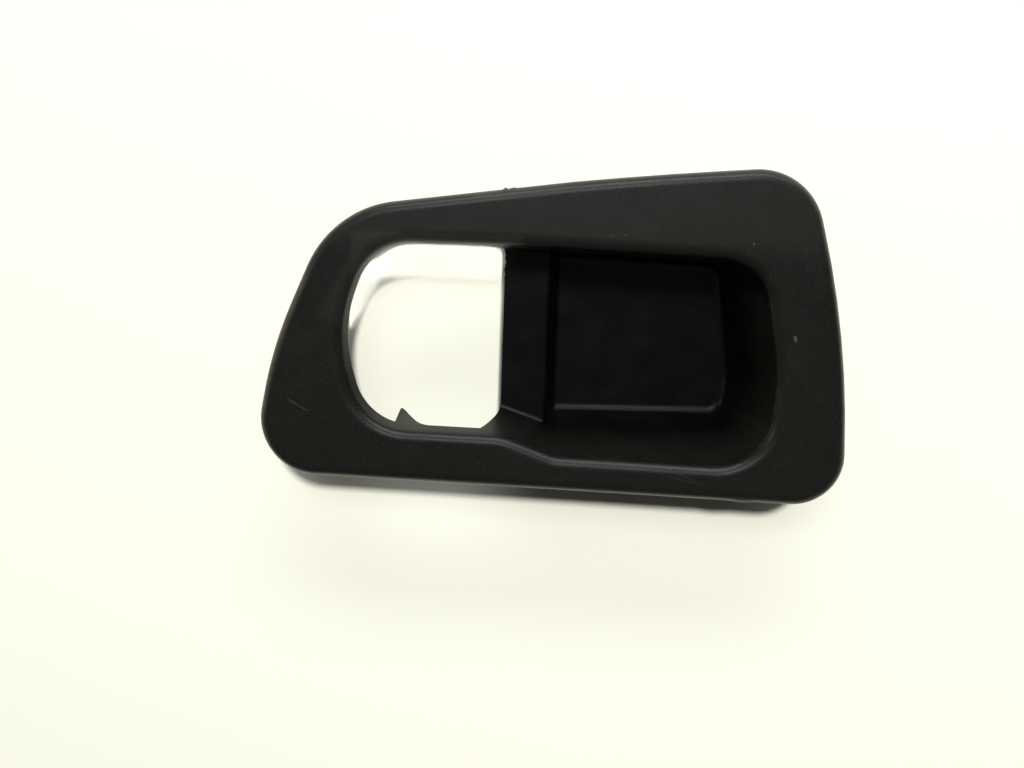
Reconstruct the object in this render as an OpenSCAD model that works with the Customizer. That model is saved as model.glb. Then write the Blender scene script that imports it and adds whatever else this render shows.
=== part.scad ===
// Trim cover that surrounds a car's inside door handle, moulded in one piece.
// A flat face plate with a rolled edge and a short skirt carries a mouth: its left part is the
// window for the lever, its right part is the finger pocket, and a raised ledge parts the two.
// Each outline is given by its edges. An edge is a straight line with an outward angle, counted
// from +X towards +Y, and a distance from the middle, and two edges meet in an arc.
// The shell is one closed skin: it runs from the skirt's rim over the face and the lip, down the
// mouth's wall to the window's rim or the pocket's floor, and back up behind them.

/* [Face outline] */
// Outward angle of the top edge's right half
face_top_right_angle = 94.5; // [93.5:0.5:95]
// Distance of the top edge's right half
face_top_right = 35.7; // [35.5:0.1:35.9]
// Radius of the bow in the top edge
face_top_bow_r = 900; // [400:50:1000]
// Outward angle of the top edge's left half
face_top_left_angle = 97.5; // [97:0.5:98]
// Distance of the top edge's left half
face_top_left = 34.7; // [34.6:0.1:35]
// Radius of the top left corner
face_top_left_r = 27; // [18:1:30]
// Outward angle of the left edge's upper half
face_left_upper_angle = 156.5; // [155.5:0.5:158]
// Distance of the left edge's upper half
face_left_upper = 60.5; // [60:0.1:61]
// Radius of the bow in the left edge
face_left_bow_r = 105; // [80:5:120]
// Outward angle of the left edge's lower half
face_left_lower_angle = 170; // [168:0.5:171]
// Distance of the left edge's lower half
face_left_lower = 66.6; // [66.2:0.1:67]
// Radius of the bottom left corner
face_bottom_left_r = 14; // [10:0.5:16]
// Outward angle of the bottom edge
face_bottom_angle = 269.4; // [268.4:0.5:270.4]
// Distance of the bottom edge
face_bottom = 38.5; // [38:0.1:40]
// Radius of the bottom right corner
face_bottom_right_r = 12; // [8:0.5:13]
// Outward angle of the right edge's lower half
face_right_lower_angle = 3; // [2.5:0.5:4]
// Distance of the right edge's lower half
face_right_lower = 69.3; // [69.1:0.1:69.5]
// Radius of the bow in the right edge
face_right_bow_r = 220; // [150:5:225]
// Outward angle of the right edge's upper half
face_right_upper_angle = 16.5; // [15.5:0.5:17]
// Distance of the right edge's upper half
face_right_upper = 66.9; // [66.7:0.1:67.3]
// Radius of the top right corner
face_top_right_r = 15.5; // [10:0.5:16]

/* [Mouth outline] */
// How far the middle of the mouth lies below the middle of the face
mouth_below = 4; // [3:0.1:5]
// Outward angle of the mouth's top edge over the window
window_top_angle = 90; // [89.5:0.5:91]
// Distance of the mouth's top edge over the window
window_top = 24.4; // [24:0.1:24.6]
// Radius of the mouth's top left corner
mouth_top_left_r = 15.5; // [11:0.5:16.5]
// Outward angle of the mouth's left end, upper half
mouth_left_upper_angle = 161; // [159:0.5:163]
// Distance of the mouth's left end, upper half
mouth_left_upper = 51; // [50.5:0.1:51.5]
// Radius of the mouth's left end
mouth_left_r = 36; // [25:1:38]
// Outward angle of the mouth's left end, lower half
mouth_left_lower_angle = 196.5; // [195:0.5:198]
// Distance of the mouth's left end, lower half
mouth_left_lower = 50.7; // [50.3:0.1:51]
// Radius of the mouth's bottom left corner
mouth_bottom_left_r = 15.5; // [12:0.5:16.5]
// Outward angle of the window's bottom edge
window_bottom_angle = 269.5; // [268:0.5:271]
// Distance of the window's bottom edge
window_bottom = 22.2; // [21:0.1:23]
// Radius of the bend from the window's bottom edge into the slope
slope_upper_r = 16; // [10:1:22]
// Outward angle of the slope between window and pocket
slope_angle = 250.5; // [247:0.5:254]
// Distance of the slope between window and pocket
slope_reach = 24.3; // [23.8:0.1:24.8]
// Radius of the bend from the slope into the pocket's bottom edge
slope_lower_r = 7.5; // [5:0.5:10]
// Outward angle of the pocket's bottom edge
pocket_bottom_angle = 269; // [268:0.5:271]
// Distance of the pocket's bottom edge
pocket_bottom = 26.5; // [25.8:0.1:27.5]
// Radius of the pocket's bottom right corner
pocket_bottom_right_r = 14; // [11:0.5:16]
// Outward angle of the pocket's right end, lower half
pocket_right_lower_angle = 356.5; // [354:0.5:359]
// Distance of the pocket's right end, lower half
pocket_right_lower = 54.6; // [54:0.1:55]
// Radius of the bow in the pocket's right end
pocket_right_bow_r = 44; // [30:1:60]
// Outward angle of the pocket's right end, upper half
pocket_right_upper_angle = 11; // [9.5:0.5:13]
// Distance of the pocket's right end, upper half
pocket_right_upper = 52.8; // [52.4:0.1:53.4]
// Radius of the pocket's top right corner
pocket_top_right_r = 13; // [11:0.5:15]
// Outward angle of the mouth's top edge over the pocket
pocket_top_angle = 88; // [87:0.5:89]
// Distance of the mouth's top edge over the pocket
pocket_top = 24; // [23.7:0.1:24.3]

/* [Depths] */
// Depth of the pocket's floor below the face
pocket_depth = 24; // [20:0.5:27]
// Depth of the ledge beside the window below the face
ledge_depth = 16.5; // [12:0.5:18]
// Depth of the short flange round the window below the face
flange_depth = 4.6; // [4:0.1:6]
// Depth of the skirt's rear rim below the face
skirt_depth = 8; // [6.5:0.5:10]

/* [Draft of the mouth's walls] */
// Draft of the top wall
top_draft = 2; // [1:0.5:4]
// Draft of the wall at the window's left end, upper half
left_upper_draft = 15; // [10:0.5:18]
// Draft of the wall at the window's left end, lower half
left_lower_draft = 22; // [16:0.5:24]
// Draft of the wall below the window
window_draft = 20; // [16:0.5:22]
// Draft of the wall along the slope
slope_draft = 14.5; // [13:0.5:16]
// Draft of the pocket's bottom wall and of the lower half of its right end
pocket_draft = 19.5; // [18.5:0.5:21]
// Draft of the upper half of the pocket's right end
pocket_upper_draft = 20; // [18.5:0.5:21]
// How far the floor's bottom edge turns from the mouth's bottom edge
floor_bottom_turn = 2.5; // [0:0.5:3]
// How far the floor's right end turns from the mouth's right end
floor_right_turn = -3; // [-4:0.5:0]
// Draft of the step between ledge and pocket floor
step_draft = 14; // [5:1:25]

/* [Places along the length] */
// Window's right edge, where the ledge starts, from the middle
ledge_start = -13; // [-16:0.5:-11]
// Ledge's right edge, where the step goes down, from the middle
ledge_end = -1.4; // [-3:0.1:1]

/* [Walls and edges] */
// Wall of the face plate and skirt
plate_wall = 2.5; // [2:0.1:3]
// Wall of the pocket, ledge and flange
pocket_wall = 2; // [1.5:0.1:2.2]
// Radius of the face's rolled outer edge
roll_r = 2.8; // [2:0.1:3.5]
// Radius of the mouth's lip
lip_r = 3; // [2:0.1:3.4]
// Radius inside the hollow where plate and skirt meet
hollow_r = 1; // [0.5:0.1:1.5]
// Radius where the pocket's floor meets its walls
floor_r = 2.5; // [1.5:0.1:3]
// Radius where the ledge meets the long walls
ledge_foot_r = 1.3; // [0.8:0.1:2]
// Radius of the floor's corners seen from above
floor_corner_r = 4; // [3:0.5:6]
// Radius of the ledge's edge above the step
step_edge_r = 1.2; // [0.4:0.1:1.6]
// Radius where the step meets the pocket's floor
step_foot_r = 1.2; // [0.5:0.1:2]
// Radius of the wall's rear edge where it sweeps from the flange down to the ledge
sweep_r = 21; // [15:1:30]

/* [Hook under the window] */
// Hook's straight left side, from the middle
hook_start = -38.1; // [-40:0.1:-36]
// Depth of the hook's tip below the face
hook_depth = 11; // [8:0.2:13]
// Width of the hook's blunt tip
hook_tip = 1; // [0.6:0.1:2]
// Slope of the hook's right side, from the flange's edge
hook_slope = 50; // [40:1:60]
// Radius where the hook's right side meets the flange's edge
hook_foot_r = 5.2; // [3:0.1:7]

/* [Rear side] */
// Wall of the stiffening ribs between mouth and skirt
rib_wall = 1.2; // [0.8:0.1:1.8]
// How far the ribs stay in front of the rim that they reach
rib_setback = 0.8; // [0.4:0.1:2]
// Place of the rib beside the window, from the middle
window_rib_at = -24; // [-30:1:-20]
// Place of the first rib beside the pocket, from the middle
pocket_rib_at = 12; // [8:1:16]
// Distance between the two ribs beside the pocket
pocket_rib_gap = 20; // [12:1:22]
// Thickness of the door panel that the snap lugs grip
panel_wall = 2.5; // [2:0.1:4]
// Room between the panel and the snap lugs
panel_clearance = 0.3; // [0.1:0.1:0.5]
// Width of each snap lug
lug_w = 6; // [4:0.5:10]
// How far each snap lug stands out of the pocket's wall
lug_out = 1.2; // [0.8:0.1:1.6]
// Length of each snap lug's ramp
lug_ramp = 4; // [3:0.5:5]
// Place of the snap lugs along the length, from the middle
lug_at = 22; // [20:0.5:24]

/* [Smoothness] */
// Largest turn of one facet along an outline, in degrees
arc_step = 8; // [6:1:12]
// Facets across each rounded edge
edge_steps = 5; // [4:1:6]
// Stretches of the ledge between the window and the step
slope_steps = 8; // [6:1:10]
// Facets across each of the step's two bends
bend_steps = 3; // [2:1:5]

/* [Hidden] */
plastic = [0.11, 0.11, 0.1];
// Smallest radius that an outline's corner keeps
least_r = 0.8;
// Longest stretch of a straight run in the face's outline
longest_run = 10;
// Length in which the hook's straight side rises, since no two columns share a place
hook_rise = 0.15;
// Turn under which two bearings count as one, in degrees
same_bearing = 0.0001;
// Where a column stands: a corner's number, or one of the long walls
upper = -1;
lower = -2;

// Edges as [outward angle, distance], counter-clockwise, and the radius after each edge
face_edges = [
    [face_top_right_angle, face_top_right],
    [face_top_left_angle, face_top_left],
    [face_left_upper_angle, face_left_upper],
    [face_left_lower_angle, face_left_lower],
    [face_bottom_angle, face_bottom],
    [face_right_lower_angle, face_right_lower],
    [face_right_upper_angle, face_right_upper]
];
face_radii = [
    face_top_bow_r, face_top_left_r, face_left_bow_r, face_bottom_left_r,
    face_bottom_right_r, face_right_bow_r, face_top_right_r
];
mouth_edges = [
    [window_top_angle, window_top],
    [mouth_left_upper_angle, mouth_left_upper],
    [mouth_left_lower_angle, mouth_left_lower],
    [window_bottom_angle, window_bottom],
    [slope_angle, slope_reach],
    [pocket_bottom_angle, pocket_bottom],
    [pocket_right_lower_angle, pocket_right_lower],
    [pocket_right_upper_angle, pocket_right_upper],
    [pocket_top_angle, pocket_top]
];
// The bend out of the window's bottom edge is hollow, so its radius is negative. The two top
// edges cross over the ledge without a bend.
mouth_radii = [
    mouth_top_left_r, mouth_left_r, mouth_bottom_left_r, -slope_upper_r,
    slope_lower_r, pocket_bottom_right_r, pocket_right_bow_r, pocket_top_right_r
];
mouth_drafts = [
    top_draft, left_upper_draft, left_lower_draft, window_draft,
    slope_draft, pocket_draft, pocket_draft, pocket_upper_draft, top_draft
];
// Turn of each edge between the mouth and the floor, and the radii there
floor_turns = [
    0, 0, 0, 0, floor_bottom_turn, floor_bottom_turn, floor_right_turn, floor_right_turn, 0
];
floor_radii = [
    mouth_top_left_r / 2, mouth_left_r / 2, mouth_bottom_left_r / 2, -slope_upper_r,
    slope_lower_r, floor_corner_r, pocket_right_bow_r / 4, floor_corner_r
];
count = len(mouth_edges);
floor_edges = [for (i = [0 : count - 1])
    [mouth_edges[i][0] + floor_turns[i], mouth_edges[i][1] - pocket_depth * tan(mouth_drafts[i])]];

function unit(angle) = [cos(angle), sin(angle)];
function mix(a, b, share) = a + (b - a) * share;
function turn(a, b) = (b - a + 540) % 360 - 180;
function grown(edge, out) = [edge[0], edge[1] + out];
// Point where two edges cross
function crossing(a, b) = [
    a[1] * sin(b[0]) - b[1] * sin(a[0]),
    b[1] * cos(a[0]) - a[1] * cos(b[0])
] / sin(b[0] - a[0]);
// Point at a share of the arc that joins two edges
function arc_point(here, next, r, share) =
    crossing(grown(here, -r), grown(next, -r))
    + r * unit(here[0] + turn(here[0], next[0]) * share);
// Shares of the arc between two edges where its facets meet
function arc_shares(here, next) = let (
    steps = max(2, ceil(abs(turn(here[0], next[0])) / arc_step))
) [for (k = [0 : steps]) k / steps];
// Angles at which the rings of a rounded edge lie
function quarter() = [for (k = [0 : edge_steps]) 90 * k / edge_steps];

// Arc at a corner of the face's outline, moved inwards
sides = len(face_edges);
function face_arc(i, inward) = let (
    here = grown(face_edges[i], -inward),
    next = grown(face_edges[(i + 1) % sides], -inward),
    r = max(face_radii[i] - inward, least_r)
) [for (share = arc_shares(here, next)) arc_point(here, next, r, share)];
// Stretches into which the straight run after each corner is cut
face_runs = [for (i = [0 : sides - 1]) let (
    here = face_arc(i, 0),
    next = face_arc((i + 1) % sides, 0)
) ceil(norm(next[0] - here[len(here) - 1]) / longest_run)];
// Ring of the face's outline, moved inwards, at a depth below the face
function face_ring(inward, depth) = let (
    arcs = [for (i = [0 : sides - 1]) face_arc(i, inward)]
) [for (i = [0 : sides - 1]) let (
    here = arcs[i],
    next = arcs[(i + 1) % sides],
    run = [for (k = [1 : 1 : face_runs[i] - 1])
        mix(here[len(here) - 1], next[0], k / face_runs[i])]
) for (p = concat(here, run)) [p[0], p[1], -depth]];

// How far the rounded lip stands outside a drafted wall at a depth
function lip_flare(depth, draft) = depth >= lip_r * (1 - sin(draft)) ? 0
    : lip_r * tan(45 - draft / 2) - sqrt(depth * (2 * lip_r - depth)) + depth * tan(draft);
// How far the round at the foot of a drafted wall reaches inwards at a height over the floor
function foot_reach(height, draft, r) = height >= r * (1 - sin(draft)) ? 0
    : r * tan(45 - draft / 2) - sqrt(max(0, height * (2 * r - height))) + height * tan(draft);

// A column of the mouth's wall is [corner or long wall, share or x, x behind, bottom depth,
// radius of its foot or 0].
// Growth of an edge at a depth, on the wall's inner face or moved out through the wall
function growth(i, col, depth, out) = let (draft = mouth_drafts[i])
    (out == 0 ? lip_flare(depth, draft) : out / cos(draft))
    - (col[4] > 0 ? foot_reach(col[3] + out - depth, draft, col[4] + out) : 0);
function wall_edge(i, col, depth, out) =
    grown(mix(mouth_edges[i], floor_edges[i], depth / pocket_depth), growth(i, col, depth, out));
function wall_radius(i, col, depth, out) = let (
    r = mix(mouth_radii[i], floor_radii[i], depth / pocket_depth),
    moved = r + (growth(i, col, depth, out) + growth((i + 1) % count, col, depth, out)) / 2
) r > 0 ? max(moved, least_r) : min(moved, -least_r);
function corner_point(i, share, col, depth, out) = arc_point(
    wall_edge(i, col, depth, out),
    wall_edge((i + 1) % count, col, depth, out),
    wall_radius(i, col, depth, out),
    share
);
function corner_shares(i) = arc_shares(mouth_edges[i], mouth_edges[(i + 1) % count]);
// Place of an edge, and of the upper or lower long wall, at x
function edge_y(edge, x) = (edge[1] - x * cos(edge[0])) / sin(edge[0]);
function upper_y(col, depth, out, x) =
    min([for (i = [0, count - 1]) edge_y(wall_edge(i, col, depth, out), x)]);
function lower_y(col, depth, out, x) = lookup(x, [for (i = [2 : 5])
    for (share = i < 5 ? corner_shares(i) : [0]) corner_point(i, share, col, depth, out)]);
function wall_point(col, depth, out) = let (
    x = out == 0 ? col[1] : col[2],
    p = col[0] == upper ? [x, upper_y(col, depth, out, x)]
        : col[0] == lower ? [x, lower_y(col, depth, out, x)]
        : corner_point(col[0], col[1], col, depth, out)
) [p[0], p[1] - mouth_below, -depth];

// Depths down a column: over the lip, then round the foot or straight to the rim
function low_depths(col, top, out) = col[4] > 0
    ? [for (a = quarter()) col[3] + out - (col[4] + out) * (1 - sin(a))]
    : [for (k = [1 : edge_steps + 1]) mix(top, col[3], k / (edge_steps + 1))];
function inner_depths(col) =
    concat([for (a = quarter()) lip_r * (1 - cos(a))], low_depths(col, lip_r, 0));
function rear_depths(col) = concat([plate_wall], low_depths(col, plate_wall, pocket_wall));
// Row of the wall with one point in each column
function inner_row(k) = [for (col = columns) wall_point(col, inner_depths(col)[k], 0)];
function rear_row(k) = [for (col = columns) wall_point(col, rear_depths(col)[k], pocket_wall)];

// Ledge, step and floor seen from the front edge, as [x, depth], on their upper face or moved
// down through the wall
function step_line(depth, out) =
    ledge_end + (depth - ledge_depth) * tan(step_draft) - out / cos(step_draft);
function stations(out) = let (
    level = ledge_depth + out,
    ground = pocket_depth + out,
    foot_r = step_foot_r + out,
    edge_mid = [
        step_line(level + step_edge_r, out) - step_edge_r / cos(step_draft),
        level + step_edge_r
    ],
    foot_mid = [
        step_line(ground - foot_r, out) + foot_r / cos(step_draft),
        ground - foot_r
    ],
    angles = [for (k = [0 : bend_steps]) (90 - step_draft) * k / bend_steps],
    edge = [for (a = angles) edge_mid + step_edge_r * [sin(a), -cos(a)]],
    foot = [for (k = [bend_steps : -1 : 0])
        foot_mid + foot_r * [-sin(angles[k]), cos(angles[k])]]
) concat(
    [for (k = [0 : slope_steps - 1]) [mix(ledge_start, edge[0][0], k / slope_steps), level]],
    edge,
    foot,
    [for (k = [1 : bend_steps]) [mix(foot[bend_steps][0], slope_end, k / bend_steps), ground]]
);
// Where the pocket's bottom edge has left the bend behind it
slope_end = crossing(mouth_edges[4], mouth_edges[5])[0] + slope_lower_r;
inner_stations = stations(0);
rear_stations = stations(pocket_wall);
last_station = len(inner_stations) - 1;

// Sweep of the wall's rear edge between flange and ledge, as [x, depth], from the ledge on
sweep = [for (k = [1 : edge_steps]) let (
    depth = mix(ledge_depth, flange_depth, k / edge_steps),
    rise = ledge_depth - depth
) [ledge_start - (sweep_r - sqrt(sweep_r * sweep_r - rise * rise)), depth]];
// Hook in the flange's edge, as [x, depth], from its straight side on
hook_drop = hook_depth - flange_depth;
hook_curl = hook_foot_r * (1 - cos(hook_slope));
hook_end = hook_start + hook_tip + (hook_drop - hook_curl) / tan(hook_slope)
    + hook_foot_r * sin(hook_slope);
hook = concat(
    [
        [hook_start, flange_depth],
        [hook_start + hook_rise, hook_depth - hook_tip / 3],
        [hook_start + hook_tip, hook_depth]
    ],
    [for (k = [edge_steps : -1 : 0]) let (a = hook_slope * k / edge_steps) [
        hook_end - hook_foot_r * sin(a),
        flange_depth + hook_foot_r * (1 - cos(a))
    ]]
);

function rim_column(side, p) = [side, p[0], p[0], p[1], 0];
// The foot's radius grows from the ledge to the pocket's floor
function floor_column(side, k) = let (
    depth = inner_stations[k][1],
    share = (depth - ledge_depth) / (pocket_depth - ledge_depth)
) [side, inner_stations[k][0], rear_stations[k][0], depth, mix(ledge_foot_r, floor_r, share)];
function corner_columns(i, bottom, foot_r) =
    [for (share = corner_shares(i)) [i, share, 0, bottom, foot_r]];
rim_columns = concat(
    [for (p = sweep) rim_column(upper, p)],
    [for (i = [0 : 2]) for (col = corner_columns(i, flange_depth, 0))
        if (i < 2 || wall_point(col, flange_depth, 0)[0] < hook_start - least_r) col],
    [for (p = hook) rim_column(lower, p)],
    [for (k = [len(sweep) - 1 : -1 : 0]) rim_column(lower, sweep[k])]
);
// All columns, counter-clockwise from where the ledge starts on the upper wall
columns = concat(
    [floor_column(upper, 0)],
    rim_columns,
    [for (k = [0 : last_station]) floor_column(lower, k)],
    [for (i = [5 : 7]) each corner_columns(i, pocket_depth, floor_r)],
    [for (k = [last_station : -1 : 1]) floor_column(upper, k)]
);
// Numbers of the columns where the ledge starts on the lower wall and where the stations end
low_ledge = len(rim_columns) + 1;
low_last = low_ledge + last_station;
high_last = len(columns) - last_station;

// Triangles between two rows, turned to the left of the first row's way
function pair(a, b, c, d) = [[a, b, c], [a, c, d]];
function strip(first, second) = [for (i = [0 : len(first) - 2])
    each pair(first[i], first[i + 1], second[i + 1], second[i])];
function band(first, second) =
    strip(concat(first, [first[0]]), concat(second, [second[0]]));
// Triangles between two rings that lie one in the other with unlike numbers of points
function bearing(p, start) = (atan2(p[1] + mouth_below, p[0]) - start + 360) % 360;
function bearings(ring, start) = concat(
    [0],
    [for (i = [1 : len(ring) - 1]) bearing(ring[i], start)],
    [360]
);
function passed(angles, limit) = len([for (i = [1 : len(angles) - 1]) if (angles[i] < limit) i]);
function lined(outer, inner) = let (
    start = atan2(inner[0][1] + mouth_below, inner[0][0]),
    outer_at = bearings(outer, start),
    inner_at = bearings(inner, start)
) concat(
    [for (i = [0 : len(outer) - 1]) [
        outer[i],
        outer[(i + 1) % len(outer)],
        inner[passed(inner_at, outer_at[i + 1]) % len(inner)]
    ]],
    [for (j = [0 : len(inner) - 1]) [
        outer[passed(outer_at, inner_at[j + 1] + same_bearing) % len(outer)],
        inner[(j + 1) % len(inner)],
        inner[j]
    ]]
);
function turned(triangles) = [for (t = triangles) [t[2], t[1], t[0]]];
// The ring's points counted from the one that lies nearest to the upper wall's ledge start
function from_ledge(ring) = let (
    last = len(ring) - 1,
    nearest = min([for (p = ring) if (p[1] > 0) abs(p[0] - ledge_start)]),
    first = [for (i = [0 : last])
        if (ring[i][1] > 0 && abs(ring[i][0] - ledge_start) == nearest) i][0]
) [for (i = [0 : last]) ring[(i + first) % len(ring)]];

// Ledge, step and floor between the ends of the columns
function floor_skin(row) = concat(
    strip(
        [for (k = [0 : last_station]) row[low_ledge + k]],
        [for (k = [0 : last_station]) row[(len(row) - k) % len(row)]]
    ),
    [for (k = [low_last : high_last - 2]) [row[high_last], row[k], row[k + 1]]]
);

face_rings = concat(
    [face_ring(0, skirt_depth)],
    [for (a = quarter()) face_ring(roll_r * (1 - cos(a)), roll_r * (1 - sin(a)))]
);
hollow_rings = concat(
    [face_ring(plate_wall, skirt_depth)],
    [for (a = quarter())
        face_ring(plate_wall + hollow_r * (1 - cos(a)), plate_wall + hollow_r * (1 - sin(a)))]
);
inner_rows = [for (k = [0 : 2 * edge_steps + 1]) inner_row(k)];
rear_rows = [for (k = [0 : edge_steps + 1]) rear_row(k)];
inner_last = inner_rows[len(inner_rows) - 1];
rear_last = rear_rows[len(rear_rows) - 1];
window_rows = [for (row = [inner_last, rear_last]) [for (i = [0 : low_ledge]) row[i]]];
skin = concat(
    [for (k = [1 : len(face_rings) - 1]) each band(face_rings[k - 1], face_rings[k])],
    lined(from_ledge(face_rings[len(face_rings) - 1]), inner_rows[0]),
    [for (k = [1 : len(inner_rows) - 1]) each band(inner_rows[k - 1], inner_rows[k])],
    floor_skin(inner_last),
    strip(window_rows[0], window_rows[1]),
    pair(inner_last[low_ledge], inner_last[0], rear_last[0], rear_last[low_ledge]),
    turned(floor_skin(rear_last)),
    [for (k = [1 : len(rear_rows) - 1]) each band(rear_rows[k], rear_rows[k - 1])],
    turned(lined(from_ledge(hollow_rings[len(hollow_rings) - 1]), rear_rows[0])),
    [for (k = [1 : len(hollow_rings) - 1]) each band(hollow_rings[k], hollow_rings[k - 1])],
    band(hollow_rings[0], face_rings[0])
);

face_xs = [for (p = face_rings[0]) p[0]];
face_ys = [for (p = face_rings[0]) p[1]];
middle = [(min(face_xs) + max(face_xs)) / 2, (min(face_ys) + max(face_ys)) / 2];
height = pocket_depth + pocket_wall;

module shell() {
    polyhedron(
        [for (t = skin) each t],
        [for (i = [0 : len(skin) - 1]) [3 * i + 2, 3 * i + 1, 3 * i]]
    );
}

// Middle of the mouth's long wall and of the skirt at x, upper or lower
function long_wall_y(side, x, depth) = let (
    col = [side, x, x, pocket_depth, 0]
) wall_point(col, depth, pocket_wall / 2)[1];
function skirt_y(side, x) = side == upper
    ? min([for (i = [0, 1]) edge_y(grown(face_edges[i], -plate_wall / 2), x)])
    : edge_y(grown(face_edges[4], -plate_wall / 2), x);
// Plate across a long wall from a profile in [y, depth]
module cross_plate(x, wall, profile) {
    translate([x - wall / 2, 0, 0])
        rotate([90, 0, 90])
            linear_extrude(wall)
                polygon([for (p = profile) [p[0], -p[1]]]);
}

// Rib behind the plate, from the mouth's wall to the skirt
module rib(side, x, wall_end) {
    root = plate_wall / 2;
    skirt_end = skirt_depth - rib_setback;
    cross_plate(x, rib_wall, [
        [long_wall_y(side, x, root), root],
        [long_wall_y(side, x, wall_end), wall_end],
        [skirt_y(side, x), skirt_end],
        [skirt_y(side, x), root]
    ]);
}

// Snap lug on the pocket's wall, which catches behind the door panel
module snap_lug(side, x) {
    catch = skirt_depth + panel_wall + panel_clearance;
    away = side == upper ? 1 : -1;
    out = pocket_wall / 2 + lug_out;
    cross_plate(x, lug_w, [
        [long_wall_y(side, x, catch), catch],
        [long_wall_y(side, x, catch) + away * out, catch],
        [long_wall_y(side, x, catch + lug_ramp), catch + lug_ramp]
    ]);
}

module trim_cover() {
    color(plastic)
        translate([-middle[0], -middle[1], height])
            union() {
                shell();
                for (side = [upper, lower]) {
                    rib(side, window_rib_at, flange_depth - rib_setback);
                    for (k = [0, 1])
                        rib(side, pocket_rib_at + k * pocket_rib_gap, skirt_depth - rib_setback);
                    snap_lug(side, lug_at);
                }
            }
}

trim_cover();
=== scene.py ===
import math

import bmesh
import bpy
import numpy as np
from mathutils import Matrix, Vector


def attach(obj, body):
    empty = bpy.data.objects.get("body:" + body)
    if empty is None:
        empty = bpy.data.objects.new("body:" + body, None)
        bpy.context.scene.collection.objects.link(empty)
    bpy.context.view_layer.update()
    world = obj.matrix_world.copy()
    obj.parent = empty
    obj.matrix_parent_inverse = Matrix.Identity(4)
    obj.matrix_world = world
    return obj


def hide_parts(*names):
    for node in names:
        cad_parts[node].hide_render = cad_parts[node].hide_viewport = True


# Trim cover that surrounds a car's inside door handle, face up on a pale table.
# The skin repeats the CAD solid's construction with finer facets, rounded rims and the small
# flaws of the photographed piece. Sizes are in millimetres until the mesh is written, depths are
# counted down from the face, and angles are in degrees.

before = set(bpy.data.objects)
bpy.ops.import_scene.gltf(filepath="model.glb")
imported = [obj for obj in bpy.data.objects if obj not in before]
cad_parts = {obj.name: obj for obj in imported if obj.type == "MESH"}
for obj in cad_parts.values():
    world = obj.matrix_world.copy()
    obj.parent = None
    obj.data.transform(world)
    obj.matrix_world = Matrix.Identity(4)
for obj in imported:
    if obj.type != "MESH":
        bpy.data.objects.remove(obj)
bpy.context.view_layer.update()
MM = 0.001

# Face outline, as edges of (outward angle, distance from the middle), and the radius after each
FACE_EDGES = [
    (94.5, 35.7), (97.5, 34.7), (156.5, 60.5), (170, 66.6), (269.4, 38.5), (3, 69.3), (16.5, 66.9),
]
FACE_RADII = [900, 27, 105, 14, 12, 220, 15.5]
# Mouth outline, from the top edge over the window counter-clockwise, with each wall's draft.
# The two top edges cross without a bend.
MOUTH_EDGES = [
    (90, 24.4), (161, 51), (196.5, 50.7), (269.5, 22.2), (250.5, 24.3),
    (269, 26.5), (356.5, 54.6), (11, 52.8), (88, 24),
]
MOUTH_RADII = [15.5, 36, 15.5, -16, 7.5, 14, 44, 13]
DRAFTS = [2, 15, 22, 20, 14.5, 19.5, 19.5, 20, 2]
# How far each edge has turned at the floor's depth, and the corners' radii there
FLOOR_TURNS = [0, 0, 0, 0, 2.5, 2.5, -3, -3, 0]
FLOOR_CORNER_R = 4.0
FLOOR_RADII = [
    MOUTH_RADII[0] / 2, MOUTH_RADII[1] / 2, MOUTH_RADII[2] / 2, MOUTH_RADII[3],
    MOUTH_RADII[4], FLOOR_CORNER_R, MOUTH_RADII[6] / 4, FLOOR_CORNER_R,
]
# How far the mouth's origin lies below the face's
MOUTH_BELOW = 4.0

# Depths below the face
POCKET_DEPTH = 24.0
LEDGE_DEPTH = 16.5
FLANGE_DEPTH = 4.6
SKIRT_DEPTH = 8.0

# Places along the length
LEDGE_START = -13.0
LEDGE_END = -1.4
STEP_DRAFT = 14.0

# Walls and edge radii
PLATE = 2.5
WALL = 2.0
HEIGHT = POCKET_DEPTH + WALL
ROLL_R = 2.8
LIP_R = 3.0
HOLLOW_R = 1.0
FLOOR_R = 2.5
LEDGE_FOOT_R = 1.3
STEP_EDGE_R = 1.2
STEP_FOOT_R = 1.2
SWEEP_R = 21.0
RIM_R = 0.35

# Hook under the window
HOOK_START = -38.1
HOOK_DEPTH = 11.0
HOOK_TIP = 1.0
HOOK_SLOPE = 50.0
HOOK_FOOT_R = 5.2

# Ribs and snap lugs behind the plate
RIB_WALL = 1.2
RIB_SETBACK = 0.8
# Ribs: (place along the length, depth of the rib's end at the mouth's wall)
RIBS = [
    (-24, FLANGE_DEPTH - RIB_SETBACK),
    (12, SKIRT_DEPTH - RIB_SETBACK),
    (32, SKIRT_DEPTH - RIB_SETBACK),
]
PANEL_WALL = 2.5
PANEL_CLEARANCE = 0.3
CATCH = SKIRT_DEPTH + PANEL_WALL + PANEL_CLEARANCE
LUG_AT = 22.0
LUG_W = 6.0
LUG_OUT = 1.2
LUG_RAMP = 4.0

# Nubs on the outer edge: (top 1 or bottom -1, x, half width, height)
EDGE_NUBS = [(1, -12.2, 0.5, 0.45), (1, -10.3, 1.1, 0.22), (-1, 47.3, 3.6, 0.3)]
# Reach of a nub from its edge, and half its depth, in radii of the rolled edge
NUB_REACH = 1.6
NUB_HALF_DEPTH = 0.8
# Small rise of the top edge: x where it starts, its length and height
EDGE_RISE = (-4.7, 1.9, 0.25)
RISE_FADE = 14.0
RISE_END = 40.0
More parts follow.
